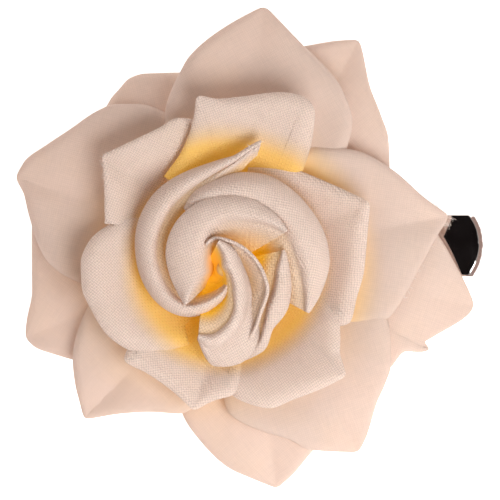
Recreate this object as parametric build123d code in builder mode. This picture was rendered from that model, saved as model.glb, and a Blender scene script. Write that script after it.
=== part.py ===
from build123d import *
from math import asin, atan2, cos, degrees, hypot, radians, sin, sqrt, tan
import os

# A rose of stiffened cloth petals on a hub, glued to a two-arm spring clip. Millimetres.
# The clip runs along X with its thumb end at +X and rests on its flat lower arm, on z = 0.
# The origin is on the underside of the lower arm, halfway between the jaw tip and the hinge.

# --- the metal clip ------------------------------------------------------------------------
plate = 0.5  # thickness of the pressed sheet
clip_width = 10.2
tip_x = -20.0  # front of the jaws
thumb_x = 37.3  # end of the upper handle
thumb_radius = 8.5  # the handle ends in a shallow arc
jaw_top = 7.4  # flat back of the closed upper jaw, where the flower is glued
jaw_back_x = -12.0  # the jaw's back is flat from here ...
bend_x = 12.5  # ... to here, where the handle starts to rise
handle_slope = 12.0  # degrees
flange = 1.0  # how far the turned-down edges reach below the plate
tooth = 1.2  # pitch of the jaw teeth
bite = 0.15  # gap between the closed jaws
side_gap = 0.1  # between the upper arm's cheeks and the lower arm

hinge_x = 17.0
hinge_z = 4.0
ear_radius = 2.2
pin_radius = 1.0
pin_play = 0.05
rivet_radius = 1.7
rivet_head = 0.4

lower_width = clip_width - 2 * plate - 2 * side_gap
lower_tip_x = tip_x - 0.6
lower_end_x = 34.0
lower_lip = 0.6  # height of the lower arm's toothed edges above its plate
corner = 1.2  # cut off the lower jaw's front corners

wire = 0.8
coil_radius = 1.75  # to the middle of the wire
coil_pitch = 0.95
lower_leg = 12.0
upper_leg = 13.0

# --- the flower ------------------------------------------------------------------------------
flower_x, flower_y = -1.8, -1.6
bud_x, bud_y = flower_x - 2.4, flower_y - 2.1  # the heart sits off the middle
cloth = 0.4
glue = 0.4
felt_radius = 11.0
felt = 1.4
hub_radius = 6.0
hub_flange = 0.5
post_radius = 2.5
core_foot_radius = 3.5
core_foot = 0.5
core_height = 8.0
core_radius = 1.3

felt_z = jaw_top + glue
hub_z = felt_z + felt
ring_root = post_radius + 0.15
ring_reach = 38.0  # the profile of each ring is worked out over this reach

# Each ring: level at the post, rise at full reach, how steeply it curves up, and how far a
# petal's one edge lifts over its neighbour, so that the petals lie like a pinwheel.
back_ring = dict(level=hub_z + 1.2, rise=3.0, power=2.0, lift=0.5)
front_ring = dict(level=hub_z + 2.8, rise=4.4, power=1.5, lift=0.5)
middle_ring = dict(level=hub_z + 4.8, rise=21.0, power=1.6, lift=0.7)

# Each petal: direction of its tip in degrees from the thumb end, and reach of its tip.
back_petals = [(-12, 38.0), (61, 39.0), (119, 33.5), (201, 36.6), (279, 37.6)]
front_petals = [(10, 33.5), (84, 39.4), (161, 37.4), (226, 35.3), (300, 36.2)]
middle_petals = [(24, 21.5), (83, 25.4), (144, 26.3), (195, 25.2), (253, 24.9), (311, 24.9)]

# The heart: petals wrapped round the core. Each has its first and last direction, its reach
# at even steps between them, the level of its foot, the height of its rim at both ends, and
# how full its cup is, from 1 for a cone to 2.5 for a round bowl.
inner_petals = [
    dict(start=87, end=245, reach=(17.3, 16.2, 15.0, 12.0, 8.2), foot=16.6, rim=(24.5, 25), cup=2.5),
    dict(start=-28, end=114, reach=(14.9, 16.6, 16.3, 15.2, 13.7), foot=17.5, rim=(25, 26), cup=2.5),
    dict(start=-66, end=17, reach=(14.4, 11.7, 9.7), foot=18.4, rim=(23.5, 26), cup=2.5),
    dict(start=32, end=222, reach=(11.4, 11.7, 11.1, 9.4, 8.3), foot=18.4, rim=(27, 27), cup=2.5),
    dict(start=-64, end=126, reach=(10.6, 6.8, 5.2, 5.2), foot=19.6, rim=(25, 27.5), cup=1.8),
    dict(
        start=-104,
        end=100,
        reach=(12.6, 7.0, 4.2, 3.6, 4.0),
        foot=20.8,
        rim=(24, 29),
        cup=1.2,
        root=core_radius + 0.9,
    ),
]


def petal_sheet(centre, directions, reaches, root, height):
    """One petal as a curved surface: rays from its root to its rim, fanned round a centre."""
    rays = []
    for direction, reach in zip(directions, reaches):
        ray = []
        for step in range(7):
            r = root + (reach - root) * step / 6
            x = centre[0] + r * cos(radians(direction))
            y = centre[1] + r * sin(radians(direction))
            ray.append(Vector(x, y, height(direction, r, reach)))
        rays.append(ray)
    return Face.make_surface_from_array_of_points(rays)


def ring_sheet(tip_direction, tip_reach, ring, half_width=40.0, shoulder=0.66):
    """A petal of the open rings: pointed, wide at the shoulder, and cupped upwards."""
    sweeps = [-1 + 2 * i / 12 for i in range(13)]
    directions = [tip_direction + u * half_width for u in sweeps]
    points = [1.1 - sqrt(u * u + 0.01) for u in sweeps]
    reaches = [tip_reach * (shoulder + (1 - shoulder) * p) for p in points]

    def height(direction, r, reach):
        lift = ring["lift"] * (direction - tip_direction) / half_width
        curve = ((r - ring_root) / (ring_reach - ring_root)) ** ring["power"]
        return ring["level"] + ring["rise"] * curve + lift

    return petal_sheet((flower_x, flower_y), directions, reaches, ring_root, height)


def heart_sheet(start, end, reach, foot, rim, cup, root=core_radius + 0.2):
    """A petal of the heart: a cup that winds part of the way round the core."""
    steps = len(reach) - 1
    directions = [start + (end - start) * i / steps for i in range(steps + 1)]

    def height(direction, r, ray_reach):
        along = (direction - start) / (end - start)
        top = rim[0] + (rim[1] - rim[0]) * along
        return foot + (top - foot) * ((r - root) / (ray_reach - root)) ** cup

    return petal_sheet((bud_x, bud_y), directions, reach, root, height)


def finish(piece, label):
    piece.part.label = label
    export_step(piece.part, f"parts/{label}.step")
    box = piece.part.bounding_box()
    print(f"{label:16} z {box.min.Z:6.2f} to {box.max.Z:6.2f}, {piece.part.volume:8.1f} mm3")


os.makedirs("parts", exist_ok=True)

# --- lower arm: flat plate, low toothed edges, and two ears for the pin -----------------------
with BuildPart() as lower_arm:
    with BuildSketch(Plane.XZ):
        with BuildLine():
            Polyline(
                (hinge_x - ear_radius, hinge_z),
                (hinge_x - ear_radius - 1.5, plate + lower_lip),
                (tip_x + 3, plate + lower_lip),
                (tip_x + 3, plate),
                (lower_tip_x, plate),
                (lower_tip_x, 0),
                (lower_end_x, 0),
                (lower_end_x, plate),
                (lower_end_x - 4, plate + lower_lip),
                (hinge_x + ear_radius + 1.5, plate + lower_lip),
                (hinge_x + ear_radius, hinge_z),
            )
            ThreePointArc(
                (hinge_x + ear_radius, hinge_z),
                (hinge_x, hinge_z + ear_radius),
                (hinge_x - ear_radius, hinge_z),
            )
        make_face()
    extrude(amount=lower_width / 2, both=True)
    with BuildSketch(Plane.XY.offset(plate)):
        Rectangle(100, lower_width - 2 * plate)
    extrude(amount=10, mode=Mode.SUBTRACT)
    with BuildSketch(Plane.XZ):
        teeth_x = [tip_x + 3.8 + tooth * i for i in range(17)]
        with Locations([(x, plate + lower_lip) for x in teeth_x]):
            Polygon((-0.4, 0), (0.4, 0), (0, -0.45), align=None)
    extrude(amount=lower_width, both=True, mode=Mode.SUBTRACT)
    with BuildSketch(Plane.XZ):
        with Locations((hinge_x, hinge_z)):
            Circle(pin_radius)
    extrude(amount=lower_width, both=True, mode=Mode.SUBTRACT)
    with BuildSketch(Plane.XY):
        with BuildLine():
            half = lower_width / 2
            drop = thumb_radius - sqrt(thumb_radius**2 - half**2)
            Polyline(
                (lower_end_x - drop, half),
                (lower_tip_x + corner, half),
                (lower_tip_x, half - corner),
                (lower_tip_x, corner - half),
                (lower_tip_x + corner, -half),
                (lower_end_x - drop, -half),
            )
            ThreePointArc((lower_end_x - drop, -half), (lower_end_x, 0), (lower_end_x - drop, half))
        make_face()
    extrude(amount=20, mode=Mode.INTERSECT)
finish(lower_arm, "lower_arm")

# --- upper arm: a channel open downwards, with ears outside the lower arm's -------------------
rise = tan(radians(handle_slope))
thumb_top = jaw_top + (thumb_x - bend_x) * rise
tongue = plate + flange  # full depth of the channel's edge


def arm_outline(drop, reach_x):
    """Side view of the upper arm's back, lowered by drop, as far as reach_x."""
    front = tip_x + drop
    top = jaw_top - drop
    Line((front, plate + bite), (front, 2.4))
    Bezier((front, 2.4), (front, top - 1.8), (jaw_back_x - 5.5, top), (jaw_back_x, top))
    Polyline((jaw_back_x, top), (bend_x, top), (reach_x, top + (reach_x - bend_x) * rise))


def thumb_outline(inset):
    """Plan view of the upper arm, drawn in by inset, with the arc at the thumb end."""
    half = clip_width / 2 - inset
    end = thumb_x - inset
    drop = thumb_radius - sqrt(thumb_radius**2 - half**2)
    Polyline((end - drop, half), (tip_x - 1, half), (tip_x - 1, -half), (end - drop, -half))
    ThreePointArc((end - drop, -half), (end, 0), (end - drop, half))


with BuildPart() as channel:
    with BuildSketch(Plane.XZ):
        with BuildLine():
            arm_outline(plate, thumb_x + 5)
            Polyline(
                (thumb_x + 5, jaw_top - plate + (thumb_x + 5 - bend_x) * rise),
                (thumb_x + 5, -5),
                (tip_x + plate, -5),
                (tip_x + plate, plate + bite),
            )
        make_face()
    extrude(amount=clip_width, both=True)
    with BuildSketch(Plane.XY.offset(-10)):
        with BuildLine():
            thumb_outline(plate)
        make_face()
    extrude(amount=40, mode=Mode.INTERSECT)

with BuildPart() as upper_arm:
    with BuildSketch(Plane.XZ):
        with BuildLine():
            arm_outline(0, thumb_x)
            Polyline(
                (thumb_x, thumb_top),
                (thumb_x, thumb_top - tongue),
                (hinge_x + 4.2, jaw_top - tongue + (hinge_x + 4.2 - bend_x) * rise),
                (hinge_x + ear_radius, hinge_z),
            )
            ThreePointArc(
                (hinge_x + ear_radius, hinge_z),
                (hinge_x, hinge_z - ear_radius),
                (hinge_x - ear_radius, hinge_z),
            )
            Polyline(
                (hinge_x - ear_radius, hinge_z),
                (hinge_x - 4.2, jaw_top - tongue),
                (jaw_back_x, jaw_top - tongue),
                (tip_x + 2.6, 3.4),
                (tip_x + 1.2, plate + bite),
                (tip_x, plate + bite),
            )
        make_face()
    extrude(amount=clip_width / 2, both=True)
    with BuildSketch(Plane.XY.offset(-10)):
        with BuildLine():
            thumb_outline(0)
        make_face()
    extrude(amount=40, mode=Mode.INTERSECT)
    add(channel.part, mode=Mode.SUBTRACT)
    with BuildSketch(Plane.YZ.offset(tip_x)):
        with Locations([(tooth * 1.6 * i, plate + bite) for i in range(-2, 3)]):
            Polygon((-0.7, 0), (0.7, 0), (0, 1.1), align=None)
    extrude(amount=2, both=True, mode=Mode.SUBTRACT)
    with BuildSketch(Plane.XZ):
        with Locations((hinge_x, hinge_z)):
            Circle(pin_radius + pin_play)
    extrude(amount=clip_width, both=True, mode=Mode.SUBTRACT)
finish(upper_arm, "upper_arm")

# --- hinge pin: pressed into the lower arm's ears, with a rivet head outside each cheek -------
with BuildPart() as hinge_pin:
    half_pin = clip_width / 2 + side_gap
    with BuildSketch(Plane.XZ):
        with Locations((hinge_x, hinge_z)):
            Circle(pin_radius)
    extrude(amount=half_pin + rivet_head, both=True)
    for side in (-1, 1):
        with BuildSketch(Plane.XZ.offset(side * half_pin)):
            with Locations((hinge_x, hinge_z)):
                Circle(rivet_radius)
        extrude(amount=side * rivet_head)
    fillet(hinge_pin.edges().group_by(Axis.Y)[0] + hinge_pin.edges().group_by(Axis.Y)[-1], 0.25)
finish(hinge_pin, "hinge_pin")


# --- torsion spring: a coil round the pin, with a leg along the inside of each arm ------------
def leg_angle(length, target):
    """Slope at which a straight leg leaves the coil to end target away from the pin's line."""
    return degrees(asin(target / hypot(coil_radius, length)) - atan2(coil_radius, length))


under_back = (jaw_top - plate - hinge_z) * cos(radians(handle_slope))
under_back += (hinge_x - bend_x) * sin(radians(handle_slope))
rest_gap = wire / 2 + 0.05
lower_slope = leg_angle(lower_leg, hinge_z - plate - rest_gap)
upper_slope = handle_slope + leg_angle(upper_leg, under_back - rest_gap)
coil_turns = 3.5 - (lower_slope + upper_slope) / 360
coil_length = coil_turns * coil_pitch
coil_start = radians(-90 - lower_slope)

coil_plane = Plane(
    origin=(hinge_x, -coil_length / 2, hinge_z),
    x_dir=(cos(coil_start), 0, sin(coil_start)),
    z_dir=(0, 1, 0),
)
coil = Helix(coil_pitch, coil_length, coil_radius).moved(coil_plane.location)
first_leg = Edge.make_line(coil @ 0 - (coil % 0) * lower_leg, coil @ 0)
last_leg = Edge.make_line(coil @ 1, coil @ 1 + (coil % 1) * upper_leg)
with BuildPart() as torsion_spring:
    with BuildLine():
        add([first_leg, coil, last_leg])
    with BuildSketch(Plane(origin=first_leg @ 0, z_dir=first_leg % 0)):
        Circle(wire / 2)
    sweep()
finish(torsion_spring, "torsion_spring")

# --- glue, felt, hub and core: what holds the flower together, hidden below it -----------------
with BuildPart() as glue_pad:
    with BuildSketch(Plane.XY.offset(jaw_top)):
        with Locations((flower_x, 0)):
            SlotOverall(17, 8.4)
    extrude(amount=glue)
finish(glue_pad, "glue_pad")

with BuildPart() as felt_pad:
    with BuildSketch(Plane.XY.offset(felt_z)):
        with Locations((flower_x, flower_y)):
            Circle(felt_radius)
    extrude(amount=felt)
finish(felt_pad, "felt_pad")

post_top = middle_ring["level"] + 1.95
with BuildPart() as flower_hub:
    with BuildSketch(Plane.XY.offset(hub_z)):
        with Locations((flower_x, flower_y)):
            Circle(hub_radius)
    extrude(amount=hub_flange)
    with BuildSketch(Plane.XY.offset(hub_z)):
        with Locations((flower_x, flower_y)):
            Circle(post_radius)
    extrude(amount=post_top - hub_z)
finish(flower_hub, "flower_hub")

with BuildPart() as bud_core:
    with BuildSketch(Plane.XY.offset(post_top)):
        with Locations((bud_x, bud_y)):
            Circle(core_foot_radius)
    extrude(amount=core_foot)
    with BuildSketch(Plane.XY.offset(post_top)):
        with Locations((bud_x, bud_y)):
            Circle(core_radius)
    extrude(amount=core_height)
    fillet(bud_core.edges().group_by(Axis.Z)[-1], core_radius * 0.9)
finish(bud_core, "bud_core")

# --- the petals ---------------------------------------------------------------------------------
sheets = {}
for ring_name, ring, petals in (
    ("back", back_ring, back_petals),
    ("front", front_ring, front_petals),
    ("middle", middle_ring, middle_petals),
):
    for number, (tip_direction, tip_reach) in enumerate(petals, 1):
        sheets[f"{ring_name}_petal_{number}"] = ring_sheet(tip_direction, tip_reach, ring)
for number, shape in enumerate(inner_petals, 1):
    sheets[f"inner_petal_{number}"] = heart_sheet(**shape)

for label, sheet in sheets.items():
    upward = sheet.normal_at(sheet.center()).Z > 0
    with BuildPart() as petal:
        thicken(sheet, amount=cloth if upward else -cloth)
    finish(petal, label)
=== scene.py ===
# %% [markdown]
# # A cloth rose on a spring clip
# The clip is pressed metal and already has its right shape, so it only gets finishes and softened
# edges here. The rose is cloth: every petal is cut flat, stiffened, and then shaped by hand, so
# every petal is made again here as a thin curved sheet, over the plain one that holds its place.
# All lengths below are in millimetres until a mesh is made, because petals are thought of that way.

import bmesh
import bpy
import math
import numpy as np
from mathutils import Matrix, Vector


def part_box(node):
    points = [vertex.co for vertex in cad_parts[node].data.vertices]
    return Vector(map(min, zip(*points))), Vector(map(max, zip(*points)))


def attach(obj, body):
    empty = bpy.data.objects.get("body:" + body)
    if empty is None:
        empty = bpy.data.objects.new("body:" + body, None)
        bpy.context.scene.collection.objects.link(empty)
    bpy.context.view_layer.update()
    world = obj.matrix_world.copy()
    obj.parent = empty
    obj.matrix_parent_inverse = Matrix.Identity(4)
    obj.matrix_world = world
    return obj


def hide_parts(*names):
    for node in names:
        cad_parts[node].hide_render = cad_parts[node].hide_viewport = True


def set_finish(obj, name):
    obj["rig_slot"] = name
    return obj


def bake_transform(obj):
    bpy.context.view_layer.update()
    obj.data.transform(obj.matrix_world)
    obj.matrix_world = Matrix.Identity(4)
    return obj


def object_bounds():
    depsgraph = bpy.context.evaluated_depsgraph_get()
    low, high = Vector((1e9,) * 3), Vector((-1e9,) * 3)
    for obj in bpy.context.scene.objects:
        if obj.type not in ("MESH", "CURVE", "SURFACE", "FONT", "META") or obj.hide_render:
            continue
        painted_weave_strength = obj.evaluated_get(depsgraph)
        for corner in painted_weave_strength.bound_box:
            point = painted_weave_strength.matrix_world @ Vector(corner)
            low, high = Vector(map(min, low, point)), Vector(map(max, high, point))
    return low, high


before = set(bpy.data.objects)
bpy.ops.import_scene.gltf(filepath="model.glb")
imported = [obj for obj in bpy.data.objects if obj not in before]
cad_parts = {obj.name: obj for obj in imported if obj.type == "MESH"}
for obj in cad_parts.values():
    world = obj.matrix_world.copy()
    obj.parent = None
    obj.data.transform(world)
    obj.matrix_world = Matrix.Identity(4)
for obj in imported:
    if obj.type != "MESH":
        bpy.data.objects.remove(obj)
cad_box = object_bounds()
MM = 0.001
print("model box, mm:", [[round(c / MM, 1) for c in corner] for corner in cad_box])


# %% [markdown]
# Petals are placed round two upright lines: the middle of the felt pad, which is the middle of the
# flower, and the core, which the heart is wrapped round and which sits a little off that middle.

# %% Where the flower stands
def middle_of(node):
    low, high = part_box(node)
    return np.array((low + high) / 2) / MM


flower = middle_of("felt_pad")[:2]
heart = middle_of("bud_core")[:2]
felt_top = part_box("felt_pad")[1].z / MM
print("flower middle", flower.round(2), "heart", heart.round(2), "felt top", round(felt_top, 2))


# %% [markdown]
# ## Wiring finishes like sums
# A finish is a network of nodes, but its maths reads better as ordinary expressions. Wire stands
# for one output, so adding or multiplying two wires makes the Math node between them.

# %% Wires and finishes
class Wire:
    """The output of a node, which Python can do sums with."""

    def __init__(self, finish, socket):
        self.finish = finish
        self.socket = socket

    def maths(self, operation, first, second=0.0):
        return self.finish.node("ShaderNodeMath", {"operation": operation}, {0: first, 1: second})

    def __add__(self, other):
        return self.maths("ADD", self, other)

    def __radd__(self, other):
        return self.maths("ADD", other, self)

    def __sub__(self, other):
        return self.maths("SUBTRACT", self, other)

    def __rsub__(self, other):
        return self.maths("SUBTRACT", other, self)

    def __mul__(self, other):
        return self.maths("MULTIPLY", self, other)

    def __rmul__(self, other):
        return self.maths("MULTIPLY", other, self)

    def sine(self):
        return self.maths("SINE", self)

    def size(self):
        return self.maths("ABSOLUTE", self)

    def above(self, level):
        return self.maths("GREATER_THAN", self, level)


class Finish:
    """A material, with one method that adds any node to it."""

    def __init__(self, name):
        self.material = bpy.data.materials.new(name)
        self.material.use_nodes = True
        self.tree = self.material.node_tree
        self.tree.nodes.clear()

    def node(self, kind, settings=None, sockets=None, out=0):
        made = self.tree.nodes.new(kind)
        for key, value in (settings or {}).items():
            if key == "stops":
                self.set_stops(made.color_ramp, value)
            else:
                setattr(made, key, value)
        for key, value in (sockets or {}).items():
            if isinstance(value, Wire):
                self.tree.links.new(value.socket, made.inputs[key])
            else:
                made.inputs[key].default_value = value
        return Wire(self, made.outputs[out]) if made.outputs else made

    def set_stops(self, ramp, stops):
        while len(ramp.elements) < len(stops):
            ramp.elements.new(0.5)
        for element, (place, colour) in zip(ramp.elements, stops):
            element.position = place
            element.color = (*colour, 1)

    def mix(self, amount, first, second, how="MIX"):
        settings = {"data_type": "RGBA", "blend_type": how}
        return self.node("ShaderNodeMix", settings, {0: amount, 6: first, 7: second}, out=2)

    def shade(self, **sockets):
        named = {key.replace("_", " "): value for key, value in sockets.items()}
        return self.node("ShaderNodeBsdfPrincipled", None, named)

    def done(self, shader):
        self.node("ShaderNodeOutputMaterial", None, {"Surface": shader})
        return self.material


def rgb(red, green, blue):
    return (red, green, blue, 1.0)


# %% [markdown]
# ## The cloth
# The petals are cut from a plain weave: each thread goes over one and under the next. Two sine
# waves across the cloth give the round backs of the threads, and the sign of their product says
# which thread is on top. The waves run along each petal's own cut, kept in its UV map in
# millimetres, so the weave bends with the petal. The weave is also put into the colour, lighter on
# the thread backs and darker between them, as painted highlight and painted shade of the threads'
# relief. Cloth lets light through, and light that has been through several layers is yellow; here
# that is painted: a petal's colour turns to straw and amber towards its root and in the hollows of
# the heart, as painted shade, and the same places glow a little, as painted glow.

# %% Cloth finishes
CREAM = (0.94, 0.785, 0.69)
ECRU = (0.87, 0.71, 0.615)
# The last two tones are painted shade: the yellow of light that has come through several layers of
# cloth, put into the colour of the hollows.
PAINTED_SHADE_STRAW = (0.91, 0.70, 0.46)
PAINTED_SHADE_AMBER = (0.96, 0.61, 0.06)


def cloth_finish(name, thread, relief, painted_weave_contrast, slubs, through_share, tone):
    f = Finish(name)
    cut = f.node("ShaderNodeUVMap", {"uv_map": "cut"})
    drift = f.node("ShaderNodeTexNoise", None, {"Vector": cut, "Scale": 0.55, "Detail": 2.0})
    across = f.node("ShaderNodeSeparateXYZ", None, {0: cut}, out=0)
    along = f.node("ShaderNodeSeparateXYZ", None, {0: cut}, out=1)
    warp = ((across + drift * 0.5) * (math.pi / thread)).sine()
    weft = ((along + drift * 0.4) * (math.pi / thread)).sine()
    on_top = (warp * weft).above(0.0)
    weave = warp.size() * on_top + weft.size() * (1 - on_top)
    long_way = f.node("ShaderNodeMapping", None, {"Vector": cut, "Scale": (0.35, 3.0, 1.0)})
    cross_way = f.node("ShaderNodeMapping", None, {"Vector": cut, "Scale": (3.0, 0.35, 1.0)})
    slub = f.node("ShaderNodeTexNoise", None, {"Vector": long_way, "Scale": 1.0, "Detail": 2.0})
    slub_2 = f.node("ShaderNodeTexNoise", None, {"Vector": cross_way, "Scale": 1.0, "Detail": 2.0})
    uneven = (slub + slub_2) * slubs
    # Painted shade and painted glow: the mask read here is 0 on open cloth and 1 deep in the hollows
    # and near the roots; the blotch added to it is the cloth's own uneven tone.
    depth = f.node("ShaderNodeAttribute", {"attribute_name": "depth"}, out=2)
    blotch = f.node("ShaderNodeTexNoise", None, {"Vector": cut, "Scale": 0.12, "Detail": 3.0})
    painted_glow_and_blotch = depth + (blotch - 0.5) * 0.2
    # The ramp runs from the cloth's own tone to the painted straw and amber shade.
    tones = {"stops": [(0.0, tone), (0.45, PAINTED_SHADE_STRAW), (1.0, PAINTED_SHADE_AMBER)]}
    colour = f.node("ShaderNodeValToRGB", tones, {"Fac": painted_glow_and_blotch})
    # Painted highlight and painted shade of the weave: the colour is lighter on the thread backs and
    # darker between them, less so in the painted shade of the hollows; the slubs are the thread's own
    # uneven tone.
    painted_weave_strength = painted_weave_contrast * (1 - depth * 0.8)
    painted_weave_and_slubs = (weave - 0.62) * painted_weave_strength + uneven + (1.0 - slubs)
    grey = f.node("ShaderNodeCombineColor", None, {0: painted_weave_and_slubs, 1: painted_weave_and_slubs, 2: painted_weave_and_slubs})
    colour = f.mix(1.0, colour, grey, "MULTIPLY")
    height = weave + uneven * 0.8
    bump = f.node("ShaderNodeBump", None, {"Height": height, "Distance": relief * MM, "Strength": 1.0})
    # Painted glow: the hollows give off a little yellow light of their own, standing in for light that
    # has come through the layers.
    painted_glow_stops = {"stops": [(0.1, (0.0, 0.0, 0.0)), (0.5, (0.10, 0.06, 0.01)), (1.0, (0.26, 0.15, 0.0))]}
    glow = f.node("ShaderNodeValToRGB", painted_glow_stops, {"Fac": depth})
    front = f.shade(
        Base_Color=colour,
        Roughness=0.82,
        Normal=bump,
        Specular_IOR_Level=0.25,
        Sheen_Weight=0.3,
        Sheen_Roughness=0.5,
        Emission_Color=glow,
        Emission_Strength=1.0,
    )
    through = f.node("ShaderNodeBsdfTranslucent", None, {"Color": colour, "Normal": bump})
    return f.done(f.node("ShaderNodeMixShader", None, {0: through_share, 1: front, 2: through}))


outer_cloth = cloth_finish(
    "outer_cloth", thread=0.32, relief=0.02, painted_weave_contrast=0.10, slubs=0.10, through_share=0.28, tone=ECRU
)
heart_cloth = cloth_finish(
    "heart_cloth", thread=0.39, relief=0.09, painted_weave_contrast=0.33, slubs=0.08, through_share=0.26, tone=CREAM
)
print("cloth finishes:", outer_cloth.name, heart_cloth.name)


# %% [markdown]
# ## A smooth line through a few points
# A petal's outline and its heights are each given by a few values. The curve through them must
# not overshoot, or the outline would bulge between its points, so each slope is a cautious mean of
# the slopes on its two sides, and none where the values turn.

# %% Smooth curves
def smooth(places, values, at):
    places = np.array(places, float)
    values = np.array(values, float)
    step = np.diff(places)
    rise = np.diff(values) / step
    slope = np.zeros(len(places))
    slope[0], slope[-1] = rise[0], rise[-1]
    for i in range(1, len(rise)):
        if rise[i - 1] * rise[i] > 0:
            slope[i] = 2 / (1 / rise[i - 1] + 1 / rise[i])
    i = np.clip(np.searchsorted(places, at) - 1, 0, len(step) - 1)
    t = (at - places[i]) / step[i]
    return (
        values[i] * (1 + 2 * t) * (1 - t) ** 2
        + values[i + 1] * t * t * (3 - 2 * t)
        + step[i] * (slope[i] * t * (1 - t) ** 2 - slope[i + 1] * t * t * (1 - t))
    )


def ramp(value, start, end):
    """0 before start, 1 after end, and a smooth rise between."""
    t = np.clip((value - start) / (end - start), 0, 1)
    return t * t * (3 - 2 * t)


def fold_noise(x, y, seed, size):
    """Soft wrinkles: a few crossed waves, with lengths near size."""
    waves = np.random.default_rng(seed)
    total = np.zeros(np.shape(x))
    for _ in range(7):
        heading, phase = waves.uniform(0, 2 * math.pi, 2)
        length = size * waves.uniform(0.7, 1.8)
        total += np.sin((x * math.cos(heading) + y * math.sin(heading)) * 2 * math.pi / length + phase)
    return total / 7


# %% [markdown]
# ## From a grid of points to a petal
# A petal is a grid: rows from its root to its rim, and each row from one side to the other. The
# grid's own lengths give the UV map, so the weave keeps its size. Solidify gives the cloth its
# thickness and closes the edges.

# %% Petal meshes
CLOTH = 0.28
made_petals = {}


def petal_mesh(name, grid, flat, depth, finish, grain):
    rows, columns = grid.shape[:2]
    mesh = bpy.data.meshes.new(name)
    index = np.arange(rows * columns).reshape(rows, columns)
    quads = np.stack([index[:-1, :-1], index[1:, :-1], index[1:, 1:], index[:-1, 1:]], axis=-1)
    mesh.from_pydata((grid.reshape(-1, 3) * MM).tolist(), [], quads.reshape(-1, 4).tolist())
    turn = math.radians(grain)
    across = flat[..., 0] * math.cos(turn) - flat[..., 1] * math.sin(turn)
    along = flat[..., 0] * math.sin(turn) + flat[..., 1] * math.cos(turn)
    cut = np.stack([across, along], axis=-1).reshape(-1, 2)
    layer = mesh.uv_layers.new(name="cut")
    corners = np.zeros(len(mesh.loops), int)
    mesh.loops.foreach_get("vertex_index", corners)
    layer.data.foreach_set("uv", cut[corners].astype(np.float32).ravel())
    shade = mesh.attributes.new("depth", "FLOAT", "POINT")
    shade.data.foreach_set("value", np.clip(depth, 0, 1).astype(np.float32).ravel())
    mesh.materials.append(finish)
    mesh.shade_smooth()
    piece = bpy.data.objects.new(name, mesh)
    bpy.context.scene.collection.objects.link(piece)
    wall = piece.modifiers.new("cloth thickness", "SOLIDIFY")
    wall.thickness = CLOTH * MM
    wall.offset = 0
    wall.use_even_offset = False
    return piece


def finish_petal(node, slot, grid, flat, depth, finish, grain):
    piece = petal_mesh(f"{node}_cloth", grid, flat, depth, finish, grain)
    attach(piece, "upper_arm")
    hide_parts(node)
    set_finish(piece, slot)
    made_petals[node] = piece, grid
    return piece


# %% [markdown]
# ## The open petals
# The back, front and middle rings are petals cut to a point, pinched along the middle while they
# were hot, and curled down along their edges round a warm rod. So each is made the same way: a
# smooth outline, a gently rising surface over it, a pinch that runs in from the point, and rows at
# the end that follow the rod. Outlines are given as directions in degrees round the flower and
# reaches in millimetres.

# %% The open petals' surface
ROOT = 2.65  # the hub's post, which the petals are pushed on to
REACH = 38.0  # how far the longest petal gets
ROOT_FAN = 0.85  # how widely a root spreads round the post, for its rim's spread
CURL_LENGTH = 2.4  # cloth that goes round the rod, in rod radii
CURL_TIGHTENS = 1.7  # above 1, the bend starts gently and ends tight
PINCH_WIDTH = 2.4
rings = {
    "back": dict(level=felt_top + 1.7, rise=1.0, power=2.0, lift=0.7, arch=2.4, fullest=1.6),
    "front": dict(level=felt_top + 3.4, rise=2.2, power=1.5, lift=0.8, arch=2.7, fullest=1.7),
    "middle": dict(level=felt_top + 5.3, rise=9.9, bowl=(6.0, 28.0), lift=0.4, arch=0.3, fullest=1.0),
}


def polar(direction, reach):
    angle = np.radians(direction)
    return np.stack([reach * np.cos(angle), reach * np.sin(angle)], axis=-1)


def evenly(points, count):
    """count points, evenly spaced along the smooth line through the given ones."""
    far = np.concatenate([[0], np.cumsum(np.linalg.norm(np.diff(points, axis=0), axis=1))])
    at = np.linspace(0, far[-1], count)
    return np.stack([smooth(far, points[:, 0], at), smooth(far, points[:, 1], at)], axis=-1)


def rim_line(outline, tip, columns):
    """The rim as points, and the index of the one at the petal's point (None if it has no point)."""
    points = polar(*np.array(outline, float).T)
    if tip is None:
        rim = evenly(points, columns)
        return rim, None
    before, after = points[: tip + 1], points[tip:]
    long_1 = np.linalg.norm(np.diff(before, axis=0), axis=1).sum()
    long_2 = np.linalg.norm(np.diff(after, axis=0), axis=1).sum()
    first = int(round((columns - 1) * long_1 / (long_1 + long_2)))
    rim = np.concatenate([evenly(before, first + 1)[:-1], evenly(after, columns - first)])
    for _ in range(3):
        near = slice(first - 4, first + 5)
        eased = (rim[:-2] + 2 * rim[1:-1] + rim[2:]) / 4
        rim[near] = np.concatenate([rim[:1], eased, rim[-1:]])[near]
    return rim, first


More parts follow.
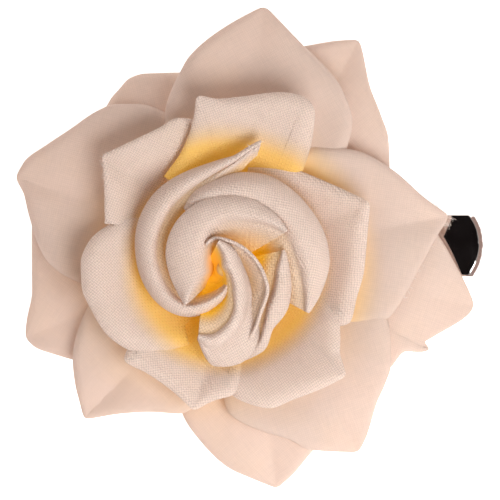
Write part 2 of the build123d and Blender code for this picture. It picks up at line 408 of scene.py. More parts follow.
def open_petal(
    node, outline, tip, roll=1.3, turn=85, pinch=0.9, run=12.0, grain=0, wave=0.22, up=0.0, lift=None,
    painted_gold_shade=None,
):
    ring = rings[node.split("_")[0]]
    columns, body_rows, roll_rows = 97, 42, 16
    rim, tip_column = rim_line(outline, tip, columns)
    direction = np.degrees(np.unwrap(np.arctan2(rim[:, 1], rim[:, 0])))
    middle = direction[tip_column] if pinch and tip_column is not None else direction.mean()
    tangent = np.gradient(rim, axis=0)
    tangent /= np.linalg.norm(tangent, axis=1)[:, None]
    out = np.stack([tangent[:, 1], -tangent[:, 0]], axis=-1)
    step = np.concatenate([[0], np.cumsum(np.linalg.norm(np.diff(rim, axis=0), axis=1))])
    from_tip = np.abs(step - step[tip_column]) if tip_column is not None else np.full(columns, 99.0)
    rod = roll * (0.12 + 0.88 * from_tip / (from_tip + 2.5))
    reach = np.linalg.norm(rim, axis=1)
    longest = reach.max()
    seed = sum(map(ord, node))
    pinwheel = ring["lift"] if lift is None else lift

    def height(x, y):
        r = np.hypot(x, y)
        share = np.clip((r - ROOT) / (REACH - ROOT), 0, None)
        turned = np.degrees(np.arctan2(y, x)) - middle
        turned = (turned + 180) % 360 - 180
        climb = ramp(r, *ring["bowl"]) if "bowl" in ring else share ** ring["power"]
        z = ring["level"] + up + ring["rise"] * climb + pinwheel * turned / 40
        full = np.clip((r - ROOT) / (longest - ROOT), 0, 1) ** ring["fullest"]
        z = z + ring["arch"] * np.sin(np.pi * full)
        z = z + wave * fold_noise(x, y, seed, 11.0) * ramp(r, 8, 20)
        if tip_column is not None:
            tip_way = rim[tip_column] / reach[tip_column]
            beside = np.abs(x * tip_way[1] - y * tip_way[0])
            inward = reach[tip_column] - (x * tip_way[0] + y * tip_way[1])
            strength = 1 - ramp(inward, 0.3 * run, run)
            crease = np.exp((0.5 - np.sqrt(beside**2 + 0.25)) / PINCH_WIDTH)
            z = z - pinch * crease * strength
        return z

    def slope_out(points):
        ahead = points + 0.2 * out
        rise = height(ahead[:, 0], ahead[:, 1]) - height(points[:, 0], points[:, 1])
        return np.arctan(rise / 0.2)

    def curl(tilt):
        """How far ahead and up the cloth gets, row by row, as it bends more and more."""
        part = (np.arange(roll_rows) + 0.5) / roll_rows
        bend = tilt - math.radians(turn) * part[:, None] ** CURL_TIGHTENS
        step = CURL_LENGTH * rod / roll_rows
        return np.cumsum(np.cos(bend) * step, axis=0), np.cumsum(np.sin(bend) * step, axis=0)

    start = rim
    for _ in range(3):
        ahead, climb = curl(slope_out(start))
        start = rim - ahead.max(axis=0)[:, None] * out
    root = polar(middle + ROOT_FAN * (direction - middle), ROOT)
    rows = []
    for v in np.linspace(0, 1, body_rows):
        plan = root + (start - root) * v
        rows.append(np.column_stack([plan, height(plan[:, 0], plan[:, 1])]))
    for k in range(roll_rows):
        plan = start + ahead[k][:, None] * out
        rows.append(np.column_stack([plan, rows[body_rows - 1][:, 2] + climb[k]]))
    grid = np.array(rows)
    way = (start - root) / np.linalg.norm(start - root, axis=1)[:, None]
    body_ways = np.repeat(way[None], body_rows - 1, axis=0)
    ways = np.concatenate([body_ways, np.repeat(out[None], roll_rows, axis=0)])
    gaps = np.linalg.norm(np.diff(grid, axis=0), axis=2)[..., None]
    flat = np.concatenate([root[None], root[None] + np.cumsum(ways * gaps, axis=0)])
    middle_ring = node.startswith("middle")
    # Painted shade and painted glow: the mask is strongest near the heart and fades out between two
    # distances from it, set per petal or per ring.
    inside, outside, most = painted_gold_shade or ((14.0, 18.0, 0.8) if middle_ring else (16.0, 28.0, 0.3))
    from_heart = grid[..., :2] + flower - heart
    depth = most * (1 - ramp(np.hypot(from_heart[..., 0], from_heart[..., 1]), inside, outside))
    grid[..., :2] += flower
    finish = heart_cloth if middle_ring else outer_cloth
    slot = "heart_cloth" if middle_ring else "outer_cloth"
    return finish_petal(node, slot, grid, flat, depth, finish, grain)


# %% [markdown]
# The back ring is the widest. It is cut rather square, and each petal shows only its point and one
# side, because the front ring lies over it.

# %% Back ring
open_petal(
    "back_petal_1",
    [(-53, 22), (-47, 27), (-37.4, 29.8), (-30, 30.6), (-28, 32.8), (-26.5, 33.7), (-25.3, 32.6),
     (-23, 33.4), (-14.8, 37.6), (-12.4, 38.4), (-9.9, 37.4), (-2.7, 34.4), (4.3, 32.1), (15, 29),
     (25, 25)],
    tip=9, roll=0.5, pinch=0.8, grain=20,
)
open_petal(
    "back_petal_2",
    [(22, 23), (30, 27.5), (38, 30), (45, 31.7), (53, 34.2), (58.5, 37.6), (61, 39.4), (65, 37.8),
     (73, 34.8), (85, 32), (95, 27)],
    tip=6, pinch=1.3, grain=50,
)
open_petal(
    "back_petal_3",
    [(95, 27), (109, 30.8), (118, 32.8), (122, 33.3), (126, 32.8), (130, 32.3), (134, 31.2), (145, 26)],
    tip=None, roll=1.6, grain=-15,
)
open_petal(
    "back_petal_4",
    [(160, 28), (173, 33.5), (190, 33.7), (197, 35.6), (201, 36.8), (204, 36), (208, 33.6),
     (212, 31.4), (225, 26), (232, 20)],
    tip=4, pinch=0.8, grain=35,
)
open_petal(
    "back_petal_5",
    [(-118, 22), (-110, 26.8), (-102, 30.3), (-93, 34), (-87, 35.7), (-81, 37.8), (-76, 35.8),
     (-72, 34.1), (-62, 31), (-50, 27)],
    tip=5, pinch=1.1, grain=-40,
)

# %% Front ring
open_petal(
    "front_petal_1",
    [(-33, 19), (-31, 21), (-23.5, 25.3), (-16, 26.6), (-3, 28.8), (6.6, 31.9), (10.5, 34.0),
     (16.6, 30.9), (29.5, 27.6), (42, 24.7), (48, 22.9), (55, 21), (63, 17)],
    tip=6, roll=1.0, pinch=1.3, run=14, grain=10, lift=0.6, up=0.2, painted_gold_shade=(20.5, 26.0, 0.6),
)
open_petal(
    "front_petal_2",
    [(38, 17), (44, 23), (50, 27.6), (59, 31), (65, 32.6), (74, 35), (84.4, 39.9), (93, 36.5),
     (101, 33.7), (106, 31.6), (119, 24.5), (123, 20)],
    tip=6, pinch=0.9, grain=-30, up=1.0,
)
open_petal(
    "front_petal_3",
    [(111, 20), (117, 25), (124, 28.9), (130, 31.2), (134, 32.1), (144, 33.7), (151, 35.6),
     (156, 37.3), (161, 37.9), (164, 35.8), (169, 34.2), (180, 31.2), (185, 28.9), (190, 25.6)],
    tip=8, roll=1.7, turn=90, pinch=1.5, run=18, grain=15, up=0.3,
)
open_petal(
    "front_petal_4",
    [(192, 20), (200, 26), (212, 31.3), (216, 32.6), (226.5, 36.1), (234, 31), (240, 28.7),
     (249, 26.9), (258, 22)],
    tip=4, pinch=1.5, run=14, grain=45,
)
open_petal(
    "front_petal_5",
    [(-98, 21), (-94, 24.9), (-82, 28.3), (-75, 30.2), (-70, 32.9), (-59, 36.7), (-55, 35.1),
     (-47, 31.9), (-42, 30.9), (-36, 29.6), (-29, 27.3), (-23, 25.3), (-18, 22)],
    tip=5, pinch=1.2, grain=-20, lift=-0.8,
)

# %% Middle ring
open_petal(
    "middle_petal_1",
    [(-45, 13), (-40, 16.5), (-35.5, 19.2), (-31.5, 20.3), (-20, 19.6), (-7, 19.7), (10, 20.4),
     (22, 22.1), (27, 20.6), (42, 17.6), (63, 15.8), (84, 15.3)],
    tip=7, roll=1.6, turn=85, pinch=1.0, grain=5, up=0.4,
)
open_petal(
    "middle_petal_2",
    [(48, 12), (54, 17), (58.6, 21.8), (62.6, 25.4), (69, 26.8), (76, 26.3), (90, 24.8), (98, 24.7),
     (105, 26.0), (107.5, 23.4), (118, 19), (134, 17.2)],
    tip=8, roll=1.4, turn=90, pinch=0, grain=-20, up=0.6, lift=1.4, painted_gold_shade=(19.0, 24.0, 0.8),
)
open_petal(
    "middle_petal_3",
    [(107, 19), (109, 22.5), (114, 23.6), (123, 23.7), (135, 24.9), (144, 26.8), (154, 23.7),
     (167, 21.8)],
    tip=5, roll=0.7, pinch=2.0, run=14, grain=25, up=-0.9,
)
open_petal(
    "middle_petal_4",
    [(155, 15), (160, 18.5), (168, 21.5), (175, 23.8), (183, 25), (191, 25.3), (201, 24.8),
     (212, 24.2), (223.5, 22.1), (232, 19.4), (241, 16.5)],
    tip=None, roll=1.6, turn=90, grain=40, up=0.3, painted_gold_shade=(13.0, 17.5, 0.8),
)
open_petal(
    "middle_petal_5",
    [(218, 21), (222, 24.4), (232, 23.6), (243, 23.8), (253.5, 25.5), (260, 23.2), (267, 22),
     (270, 19.5), (271, 16)],
    tip=4, roll=1.2, pinch=1.2, grain=-5, up=-0.7,
)
open_petal(
    "middle_petal_6",
    [(255, 17), (262, 20.5), (270.5, 22.9), (281, 24.5), (290, 24.2), (302, 24.6), (311.4, 25.3),
     (313.5, 23.3), (316, 21.8), (320, 20.6), (325, 19.2), (331, 17.0), (336, 14)],
    tip=6, roll=1.4, pinch=0.9, grain=-35, lift=1.4,
)


# %% [markdown]
# ## The heart
# The heart is petals wound round the core, each with its top folded back into a soft band. A wound
# petal is a section, from its foot on the core up to the crest, over it, and down the outside of
# the band, and the section is carried round from the petal's first direction to its last.

# %% The heart's petals
CORE = 1.3


def wound_petal(
    node, stops, crest, outer, foot, top, drop, tuck=1.2, about=(0, 0), belly=None, root=None, painted_gold_shade=4.5,
    grain=0,
):
    columns, rows = 131, 64
    at = np.linspace(stops[0], stops[-1], columns)
    along = (at - stops[0]) / (stops[-1] - stops[0])

    def over(values):
        return smooth(stops, values, at) if hasattr(values, "__len__") else np.full(columns, values)

    r_crest, r_outer, bottom = over(crest), over(outer), over(foot)
    peak = over(top) if len(top) == len(stops) else top[0] + (top[1] - top[0]) * along
    width = r_outer - r_crest
    fall = drop * np.clip(width / 3.0, 0.15, 1.0)
    r_root = over(root) if root is not None else np.minimum(CORE + 0.35, r_crest - 0.8)
    section = [
        (r_root, bottom),
        (r_root + 0.55 * (r_crest - r_root), bottom + 0.38 * (peak - bottom)),
        (r_root + 0.88 * (r_crest - r_root), bottom + 0.76 * (peak - bottom)),
        (r_crest - 0.05, peak - 1.5),
        (r_crest + 0.10 * width, peak - 0.75),
        (r_crest + 0.32 * width, peak - 0.1),
        (r_crest + 0.58 * width, peak - 0.16 * fall),
        (r_crest + 0.85 * width, peak - 0.58 * fall),
        (r_outer, peak - fall - 0.3),
    ]
    if belly is None:
        section.append((r_outer - 0.15 * width, peak - fall - tuck))
    else:
        r_belly = over(belly)
        section.append((r_outer + 0.45 * (r_belly - r_outer), peak - fall - 0.9))
        section.append((r_belly, peak - fall - 2.6))
        section.append((r_belly - 0.5, peak - fall - 3.8))
    radii = np.array([s[0] for s in section])
    levels = np.array([s[1] for s in section])
    length = np.sqrt(np.diff(radii, axis=0) ** 2 + np.diff(levels, axis=0) ** 2)
    far = np.concatenate([np.zeros((1, columns)), np.cumsum(length, axis=0)])
    grid = np.zeros((rows, columns, 3))
    flat = np.zeros((rows, columns, 2))
    depth = np.zeros((rows, columns))
    for c in range(columns):
        walk = np.linspace(0, far[-1, c], rows)
        grid[:, c, :2] = polar(at[c], smooth(far[:, c], radii[:, c], walk)) + np.array(about)
        grid[:, c, 2] = smooth(far[:, c], levels[:, c], walk)
        flat[:, c] = polar(at[c], np.maximum(r_crest[c] + walk - far[4, c], 0.2))
        # Painted shade and painted glow on the inner wall: the mask starts just under the crest and
        # reaches full strength a set height lower.
        depth[:, c] = np.clip((levels[5, c] - 0.6 - grid[:, c, 2]) / painted_gold_shade, 0, 1) * (walk < far[5, c])
    seed = sum(map(ord, node))
    grid[..., 2] += 0.12 * fold_noise(grid[..., 0], grid[..., 1], seed, 6.0)
    grid[..., :2] += heart
    return finish_petal(node, "heart_cloth", grid, flat, depth, heart_cloth, grain)


wound_petal(
    "inner_petal_1",
    stops=(74, 87, 107, 130, 150, 170, 186, 206, 224, 241, 254, 268, 280),
    crest=(20.2, 16.4, 14.0, 12.7, 11.8, 10.9, 10.0, 9.1, 7.9, 5.5, 4.2, 3.1, 2.4),
    outer=(20.9, 17.5, 16.4, 16.2, 15.5, 14.2, 13.2, 11.9, 10.4, 8.4, 6.3, 4.7, 3.3),
    root=(18.6, 13.0, 8.0, 4.0, 2.0, 1.7, 1.7, 1.7, 1.7, 1.7, 1.7, 1.65, 1.6),
    foot=(23.0, 21.0, 18.5, 17.0, 16.6, 16.6, 16.6, 16.6, 16.6, 17.5, 18.5, 20.0, 21.0),
    top=(24.6, 25.0), drop=2.6, painted_gold_shade=3.0, grain=30,
)
wound_petal(
    "inner_petal_2",
    stops=(-28, -10, 5, 16, 38, 60, 78, 96, 112, 124),
    crest=(14.4, 12.4, 11.5, 11.1, 10.9, 10.9, 10.9, 10.8, 10.6, 10.3),
    outer=(14.9, 15.8, 16.5, 16.6, 16.3, 16.2, 15.4, 14.2, 13.2, 11.5),
    foot=17.5, top=(25.0, 25.1, 25.2, 25.4, 25.6, 25.7, 25.8, 25.6, 24.8, 23.8), drop=3.2, grain=10,
)
wound_petal(
    "inner_petal_3",
    stops=(-66, -55, -40, -28, -14, -2, 13),
    crest=(15.0, 14.4, 12.4, 11.3, 11.2, 11.3, 12.6),
    outer=(15.8, 15.9, 14.3, 14.5, 14.0, 13.4, 12.9),
    foot=17.6, top=(21.2, 23.0, 24.3, 24.8, 25.0, 25.1, 25.2), drop=1.2, about=(-3.2, 0), painted_gold_shade=2.2,
)
wound_petal(
    "inner_petal_4",
    stops=(31, 46, 62, 90, 114, 138, 162, 186, 205, 223),
    crest=(11.0, 9.6, 8.4, 7.2, 5.8, 4.3, 3.5, 3.2, 4.4, 7.8),
    outer=(11.4, 11.6, 11.8, 11.4, 11.0, 10.4, 9.6, 8.6, 8.2, 8.3),
    foot=18.4, top=(27.2, 27.4), drop=1.9, tuck=0.9, painted_gold_shade=9.0, grain=-20,
)
wound_petal(
    "inner_petal_5",
    stops=(-70, -51, -36, -19, -7, 20, 48, 72, 85),
    crest=(14.2, 12.3, 10.9, 10.3, 9.3, 7.2, 5.6, 4.7, 3.6),
    outer=(14.6, 12.7, 11.3, 10.7, 9.7, 7.6, 6.0, 5.1, 4.0),
    foot=18.0, top=(21.0, 24.8, 25.8, 26.1, 26.3, 26.5, 26.7, 26.9, 27.0),
    drop=2.0, tuck=0.6, about=(-3.2, 0), painted_gold_shade=6.0, grain=20,
)
wound_petal(
    "inner_petal_6",
    stops=(-95, -84, -71, -56, -38, -15, 9, 36, 62),
    crest=(10.4, 10.4, 9.6, 8.1, 5.7, 4.2, 3.2, 3.7, 4.5),
    outer=(10.9, 12.6, 11.8, 10.6, 8.7, 6.9, 5.8, 5.4, 4.9),
    belly=(11.2, 15.4, 15.9, 14.8, 10.0, 7.2, 5.9, 5.5, 5.0),
    foot=20.4, top=(26.0, 28.8), drop=2.4, about=(-3.2, 0), painted_gold_shade=2.2, grain=-30,
)


# %% [markdown]
# ## The clip, the pad and the middle
# The pressed and turned parts are the right shape already, so they keep their own mesh and only
# get a finish. Chrome is a mirror with fine scratches; felt is short matted fibre; set glue is
# cloudy and a little soft to the eye.

# %% Finishes of the plain parts
def chrome_finish(name, tone, rough):
    f = Finish(name)
    place = f.node("ShaderNodeTexCoord", out=3)
    drawn = f.node("ShaderNodeMapping", None, {"Vector": place, "Scale": (300.0, 4000.0, 300.0)})
    scratch = f.node("ShaderNodeTexNoise", None, {"Vector": drawn, "Scale": 1.0, "Detail": 3.0})
    bump = f.node("ShaderNodeBump", None, {"Height": scratch, "Distance": 0.000004, "Strength": 1.0})
    haze = f.node("ShaderNodeTexNoise", None, {"Vector": place, "Scale": 250.0, "Detail": 2.0})
    dull = haze * 0.08 + rough
    return f.done(f.shade(Base_Color=tone, Metallic=1.0, Roughness=dull, Normal=bump))


def rough_finish(name, tone, dark, size, relief, rough):
    f = Finish(name)
    place = f.node("ShaderNodeTexCoord", out=3)
    grain = f.node("ShaderNodeTexNoise", None, {"Vector": place, "Scale": size, "Detail": 5.0})
    colour = f.mix(grain, tone, dark)
    bump = f.node("ShaderNodeBump", None, {"Height": grain, "Distance": relief * MM, "Strength": 1.0})
    return f.done(f.shade(Base_Color=colour, Roughness=rough, Normal=bump))


plate = chrome_finish("polished_plate", rgb(0.78, 0.74, 0.73), 0.06)
steel = chrome_finish("drawn_steel", rgb(0.62, 0.60, 0.59), 0.18)
felt = rough_finish("felt", rgb(0.86, 0.80, 0.74), rgb(0.70, 0.62, 0.55), 1800.0, 0.12, 0.95)
glue = rough_finish("set_glue", rgb(0.80, 0.76, 0.68), rgb(0.72, 0.66, 0.55), 400.0, 0.05, 0.3)
# The strong yellow of the hub and the core is partly their own colour and partly painted glow, standing
# in for light that reaches them through the petals round them.
hub = rough_finish("hub_plastic", rgb(0.85, 0.62, 0.22), rgb(0.80, 0.55, 0.18), 600.0, 0.02, 0.45)
core = rough_finish("core_cloth", rgb(0.90, 0.66, 0.30), rgb(0.85, 0.56, 0.18), 2500.0, 0.06, 0.9)
finishes = {
    "lower_arm": plate,
    "upper_arm": plate,
    "hinge_pin": steel,
    "torsion_spring": steel,
    "glue_pad": glue,
    "felt_pad": felt,
    "flower_hub": hub,
    "bud_core": core,
}
for node, finish in finishes.items():
    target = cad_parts[node]
    target.data.materials.clear()
    target.data.materials.append(finish)
print("plain parts finished:", ", ".join(finishes))


# %% [markdown]
# ## Softened edges
# Pressed plate has no sharp top edge: the punch rounds it, and that rounded rim is what catches
# the light round the dark face. So the upper arm gets a copy whose flat triangles are joined into
# whole faces again, with a bevel along the edges of its top face. It is widest round the thumb end.

# %% The upper arm's rim
def rimmed(node, finish, rim, end_rim, from_x, end_at):
    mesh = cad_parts[node].data.copy()
    shape = bmesh.new()
    shape.from_mesh(mesh)
    bmesh.ops.remove_doubles(shape, verts=shape.verts, dist=0.002 * MM)
    bmesh.ops.dissolve_limit(shape, angle_limit=math.radians(1.0), verts=shape.verts, edges=shape.edges)
    weights = shape.edges.layers.float.new("bevel_weight_edge")
    marked = 0
    for edge in shape.edges:
        if len(edge.link_faces) != 2:
            continue
        levels = sorted(face.normal.z for face in edge.link_faces)
        place = min(vertex.co.x for vertex in edge.verts) / MM
        on_rim = levels[1] > 0.9 and levels[0] < 0.5 and edge.is_convex
        if on_rim and (place > from_x or edge.calc_length() > 5 * MM):
            edge[weights] = end_rim / rim if place > end_at else 1.0
            marked += 1
    top = max(edge[weights] for edge in shape.edges)
    for edge in shape.edges:
        edge[weights] = edge[weights] / top
    shape.to_mesh(mesh)
    shape.free()
    piece = bpy.data.objects.new(f"{node}_plate", mesh)
    bpy.context.scene.collection.objects.link(piece)
    mesh.materials.clear()
    mesh.materials.append(finish)
    bevel = piece.modifiers.new("rounded rim", "BEVEL")
    bevel.limit_method = "WEIGHT"
    bevel.width = rim * top * MM
    bevel.segments = 4
    bevel.profile = 0.28
    bevel.harden_normals = True
    bevel.use_clamp_overlap = False
    for face in mesh.polygons:
        face.use_smooth = True
    mesh.set_sharp_from_angle(angle=math.radians(35))
    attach(piece, "upper_arm")
    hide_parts(node)
    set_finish(piece, "clip_plate")
    print(node, "faces", len(mesh.polygons), "edges rounded", marked)
    return piece


rimmed("upper_arm", plate, rim=0.4, end_rim=1.1, from_x=18.5, end_at=35.5)


# %% [markdown]
# ## Things that follow a line
# A wire and a frayed edge both follow a line, so both are grown from one with Geometry Nodes. The
# first tree gives a line a round thickness. The second scatters short bent fibres along it, each
# pointing roughly outward. The result is turned into a plain mesh, so nothing is left to grow later.

# %% Growing along a line
class Growth:
    """A Geometry Nodes tree that starts from a line, with named inputs."""

    def __init__(self, name, inputs):
        self.tree = bpy.data.node_groups.new(name, "GeometryNodeTree")
        sockets = self.tree.interface
        sockets.new_socket("Line", in_out="INPUT", socket_type="NodeSocketGeometry")
        for key, kind in inputs.items():
            sockets.new_socket(key, in_out="INPUT", socket_type=kind)
        sockets.new_socket("Grown", in_out="OUTPUT", socket_type="NodeSocketGeometry")
        self.given = self.tree.nodes.new("NodeGroupInput").outputs

    def node(self, kind, settings=None, sockets=None, out=0):
        made = self.tree.nodes.new(kind)
        for key, value in (settings or {}).items():
            setattr(made, key, value)
        for key, value in (sockets or {}).items():
            if isinstance(value, bpy.types.NodeSocket):
                self.tree.links.new(value, made.inputs[key])
            else:
                made.inputs[key].default_value = value
        return made.outputs[out] if made.outputs else made

    def done(self, grown):
        self.node("NodeGroupOutput", None, {0: grown})
        return self.tree


def grow(name, line, tree, inputs, outward=None):
    mesh = bpy.data.meshes.new(name)
    links = [(i, i + 1) for i in range(len(line) - 1)]
    mesh.from_pydata((np.array(line) * MM).tolist(), links, [])
    if outward is not None:
        layer = mesh.attributes.new("outward", "FLOAT_VECTOR", "POINT")
        layer.data.foreach_set("vector", np.array(outward, np.float32).ravel())
    piece = bpy.data.objects.new(name, mesh)
    bpy.context.scene.collection.objects.link(piece)
    growing = piece.modifiers.new("growing", "NODES")
    growing.node_group = tree
    for socket in tree.interface.items_tree:
        if socket.in_out == "INPUT" and socket.name in inputs:
            growing[socket.identifier] = inputs[socket.name]
    bpy.context.view_layer.update()
    ready = piece.evaluated_get(bpy.context.evaluated_depsgraph_get())
    baked = bpy.data.meshes.new_from_object(ready)
    piece.modifiers.clear()
    piece.data = baked
    print(f"{name:24} {len(baked.polygons)} faces")
    return piece


# %% The spring wire
WIRE = 0.8
COIL = 1.75  # radius of the coil's middle line
PITCH = 0.95
LOWER_LEG = 12.0
UPPER_LEG = 13.0
PLATE = 0.5  # thickness of the arms' sheet
PIN_LEVEL = 4.0
ARM_TOP = 7.4  # top of the upper arm where it is flat
BEND_BEFORE_PIN = 4.5  # how far before the pin the handle starts to rise
HANDLE_SLOPE = 12.0
TOUCH = 0.05  # left between the wire and an arm


def leg_slope(length, gap):
    """Slope in degrees at which a straight leg leaves the coil, to end gap away from the pin's line."""
    return math.degrees(math.asin(gap / math.hypot(COIL, length)) - math.atan2(COIL, length))


rising = math.radians(HANDLE_SLOPE)
under_handle = (ARM_TOP - PLATE - PIN_LEVEL) * math.cos(rising) + BEND_BEFORE_PIN * math.sin(rising)
beside = WIRE / 2 + TOUCH
lower_slope = leg_slope(LOWER_LEG, PIN_LEVEL - PLATE - beside)
upper_slope = HANDLE_SLOPE + leg_slope(UPPER_LEG, under_handle - beside)
print("spring legs slope, degrees:", round(lower_slope, 3), round(upper_slope, 3))

# %% The round wire tree
thick = Growth("round wire", {"Wire radius": "NodeSocketFloat", "Finish": "NodeSocketMaterial"})
line = thick.node("GeometryNodeMeshToCurve", None, {0: thick.given["Line"]})
ring = thick.node(
    "GeometryNodeCurvePrimitiveCircle", None, {"Resolution": 20, "Radius": thick.given["Wire radius"]}
)
tube = thick.node(
    "GeometryNodeCurveToMesh", None, {"Curve": line, "Profile Curve": ring, "Fill Caps": True}
)
smooth_tube = thick.node("GeometryNodeSetShadeSmooth", None, {0: tube})
solid = thick.node("GeometryNodeRealizeInstances", None, {0: smooth_tube})
finished = thick.node("GeometryNodeSetMaterial", None, {0: solid, "Material": thick.given["Finish"]})
wire_tree = thick.done(finished)


# %% The wire's middle line, and the wire
def spring_line():
    low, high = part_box("hinge_pin")
    middle = np.array((low + high) / 2) / MM
    turns = 3.5 - (lower_slope + upper_slope) / 360
    t = np.linspace(0, turns * 2 * math.pi, 160)
    angle = math.radians(-90 - lower_slope) - t
    along = (t / (2 * math.pi) - turns / 2) * PITCH
    coil = middle + np.stack([COIL * np.cos(angle), along, COIL * np.sin(angle)], axis=-1)
    heading = np.stack(
        [COIL * np.sin(angle), np.full(len(t), PITCH / (2 * math.pi)), -COIL * np.cos(angle)], axis=-1
    )
    heading /= np.linalg.norm(heading, axis=1)[:, None]
    leg = np.linspace(1, 0, 12)[:-1, None]
    lower = coil[0] - heading[0] * LOWER_LEG * leg
    upper = coil[-1] + heading[-1] * UPPER_LEG * (1 - np.linspace(1, 0, 12)[1:, None])
    return np.concatenate([lower, coil, upper]), middle


wire_line, pin_middle = spring_line()
spring = grow("spring_wire", wire_line, wire_tree, {"Wire radius": WIRE / 2 * MM, "Finish": steel})
pin_middle = Vector(pin_middle) * MM
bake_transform(spring)
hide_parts("torsion_spring")
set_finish(spring, "spring_steel")


# %% [markdown]
# ## Loose threads
# Where stiffened cloth is cut on the cross, the last threads work loose and stand out along the
# edge as short bent hairs. They are thickest at the points of the petals, where fingers pull at them.

# %% Frayed edges
fray = Growth(
    "frayed edge",
    {
        "Count": "NodeSocketInt",
        "Length": "NodeSocketFloat",
        "Thread radius": "NodeSocketFloat",
        "Spread": "NodeSocketVector",
        "Seed": "NodeSocketInt",
        "Finish": "NodeSocketMaterial",
    },
)
given = fray.given
edge_line = fray.node("GeometryNodeMeshToCurve", None, {0: given["Line"]})
count = given["Count"]
starts = fray.node("GeometryNodeCurveToPoints", {"mode": "COUNT"}, {0: edge_line, "Count": count})
hair = fray.node(
    "GeometryNodeCurveQuadraticBezier",
    None,
    {"Resolution": 8, "Start": (0, 0, 0), "Middle": (0.15, 0.10, 0.55), "End": (-0.12, 0.30, 1.0)},
)
long = given["Length"]
size = fray.node("ShaderNodeCombineXYZ", None, {0: long, 1: long, 2: long})
hair = fray.node("GeometryNodeTransform", None, {"Geometry": hair, "Scale": size})
thread_ring = fray.node(
    "GeometryNodeCurvePrimitiveCircle", None, {"Resolution": 5, "Radius": given["Thread radius"]}
)
fibre = fray.node(
    "GeometryNodeCurveToMesh", None, {"Curve": hair, "Profile Curve": thread_ring, "Fill Caps": True}
)
vector = {"data_type": "FLOAT_VECTOR"}
outward = fray.node("GeometryNodeInputNamedAttribute", vector, {"Name": "outward"})
facing = fray.node("FunctionNodeAlignRotationToVector", {"axis": "Z"}, {"Vector": outward})
back = fray.node("ShaderNodeVectorMath", {"operation": "SCALE"}, {0: given["Spread"], "Scale": -1.0})
lean = {0: back, 1: given["Spread"], "Seed": given["Seed"]}
tilt = fray.node("FunctionNodeRandomValue", vector, lean)
tilt = fray.node("FunctionNodeEulerToRotation", None, {0: tilt})
turned = fray.node("FunctionNodeRotateRotation", {"rotation_space": "LOCAL"}, {0: facing, 1: tilt})
some = fray.node(
    "FunctionNodeRandomValue", {"data_type": "FLOAT"}, {2: 0.35, 3: 1.0, "Seed": given["Seed"]}, out=1
)
hairs = fray.node(
    "GeometryNodeInstanceOnPoints",
    None,
    {"Points": starts, "Instance": fibre, "Rotation": turned, "Scale": some},
)
hairs = fray.node("GeometryNodeRealizeInstances", None, {0: hairs})
hairs = fray.node("GeometryNodeSetMaterial", None, {0: hairs, "Material": given["Finish"]})
fray_tree = fray.done(hairs)

# %% What the threads are made of
THREAD = 0.07
THREAD_SPREAD = (0.7, 0.7, 3.1)  # radians each way, the last one round the thread itself

loose = Finish("loose_thread")
along_thread = loose.node("ShaderNodeTexCoord", out=3)
uneven_tone = loose.node("ShaderNodeTexNoise", None, {"Vector": along_thread, "Scale": 1500.0})
thread_tone = loose.mix(uneven_tone, rgb(0.99, 0.94, 0.90), rgb(0.93, 0.82, 0.74))
thread_finish = loose.done(loose.shade(Base_Color=thread_tone, Roughness=0.6, Sheen_Weight=0.4))
print("thread finish:", thread_finish.name)


# %% Threads along a petal's edge
def frayed(node, name, start, end, count, length, seed, rise=0.3, inner=False):
    """Loose threads along one stretch of a petal's edge, from start to end as shares of its width."""
    petal, grid = made_petals[node]
    last = grid.shape[1] - 1
    columns = np.arange(int(start * last), int(end * last) + 1)
    from_middle = np.hypot(grid[..., 0] - flower[0], grid[..., 1] - flower[1])
    farness = grid[..., 2] if inner else from_middle
    row = np.argmax(farness[:, columns], axis=0)
    line = grid[row, columns]
    away = line - grid[np.maximum(row - 8, 0), columns]
    away /= np.linalg.norm(away, axis=1)[:, None]
    away[:, 2] += rise
    inputs = {
        "Count": count,
        "Length": length * MM,
        "Thread radius": THREAD / 2 * MM,
        "Spread": THREAD_SPREAD,
        "Seed": seed,
        "Finish": thread_finish,
    }
    piece = grow(f"{node}_{name}", line, fray_tree, inputs, outward=away)
    piece.parent = petal
    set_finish(piece, petal["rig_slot"])
    return piece


frayed("front_petal_1", "point_threads", 0.45, 0.56, 30, 1.1, 3)
frayed("front_petal_1", "edge_threads", 0.20, 0.38, 16, 0.9, 5)
frayed("back_petal_1", "tab_threads", 0.27, 0.37, 12, 0.8, 7)
frayed("middle_petal_3", "point_threads", 0.62, 0.80, 14, 0.6, 11)
frayed("inner_petal_1", "tail_threads", 0.00, 0.22, 26, 0.9, 13, inner=True)
frayed("inner_petal_2", "end_threads", 0.86, 1.00, 16, 0.9, 17, inner=True)
frayed("inner_petal_4", "end_threads", 0.60, 0.72, 8, 0.6, 19, inner=True)


# %% [markdown]
# ## Floor, light and camera
# The main light is a small softbox close by, above the front right of the flower, so the near petals
# are brighter than the far ones and every fold has a lit side. Two weak lights from behind open up
# the shadows. Straight above it is dark, which is what the polished plate shows, and the brown
# near the horizon is what shows in the plate's rounded rim.

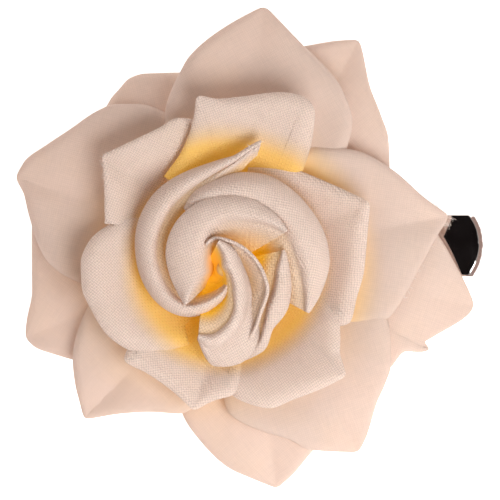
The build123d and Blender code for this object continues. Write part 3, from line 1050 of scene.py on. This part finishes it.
# %% Floor
bpy.ops.mesh.primitive_plane_add(size=4.0, location=(0, 0, cad_box[0][2] - 0.0002))
floor = bpy.context.object
floor.name = "floor"
paper = Finish("paper")
floor.data.materials.append(
    paper.done(paper.shade(Base_Color=rgb(0.95, 0.95, 0.95), Roughness=0.9, Emission_Strength=0.8,
                           Emission_Color=rgb(1, 1, 1)))
)
print("floor at", round(floor.location.z / MM, 2), "mm")

# %% What is all round
world = bpy.data.worlds.new("studio")
bpy.context.scene.world = world
world.use_nodes = True
sky = world.node_tree
aim_up = sky.nodes.new("ShaderNodeTexCoord")
split = sky.nodes.new("ShaderNodeSeparateXYZ")
shade = sky.nodes.new("ShaderNodeValToRGB")
bands = [
    (0.00, (0.44, 0.31, 0.26)),
    (0.40, (0.40, 0.28, 0.24)),
    (0.58, (0.50, 0.48, 0.46)),
    (0.86, (0.006, 0.004, 0.004)),
]
while len(shade.color_ramp.elements) < len(bands):
    shade.color_ramp.elements.new(0.5)
for element, (place, colour) in zip(shade.color_ramp.elements, bands):
    element.position = place
    element.color = (*colour, 1)
sky.links.new(aim_up.outputs["Generated"], split.inputs[0])
sky.links.new(split.outputs["Z"], shade.inputs["Fac"])
sky.links.new(shade.outputs["Color"], sky.nodes["Background"].inputs["Color"])


# %% Lights
def soft_light(name, place, size, power):
    lamp = bpy.data.lights.new(name, "AREA")
    lamp.shape = "DISK"
    lamp.size = size
    lamp.energy = power
    holder = bpy.data.objects.new(name, lamp)
    bpy.context.scene.collection.objects.link(holder)
    holder.location = place
    aim = Vector((0, 0, 0.015)) - Vector(place)
    holder.rotation_euler = aim.to_track_quat("-Z", "Y").to_euler()
    print(f"{name:10} {power} W")


soft_light("key", (0.08, -0.09, 0.19), 0.16, 0.43)
soft_light("fill_left", (-0.60, 0.25, 0.60), 0.6, 1.3)
soft_light("fill_back", (0.10, 0.80, 0.65), 0.6, 1.1)

# %% Camera
eye = bpy.data.cameras.new("camera")
eye.lens = 315
eye.sensor_width = 36
camera = bpy.data.objects.new("camera", eye)
bpy.context.scene.collection.objects.link(camera)
camera.location = (-0.0002, -0.0008, 0.712)
camera.rotation_euler = (0, 0, 0)
bpy.context.scene.camera = camera
bpy.context.scene.view_settings.view_transform = "Standard"
print("camera looks straight down from", round(camera.location.z / MM), "mm")
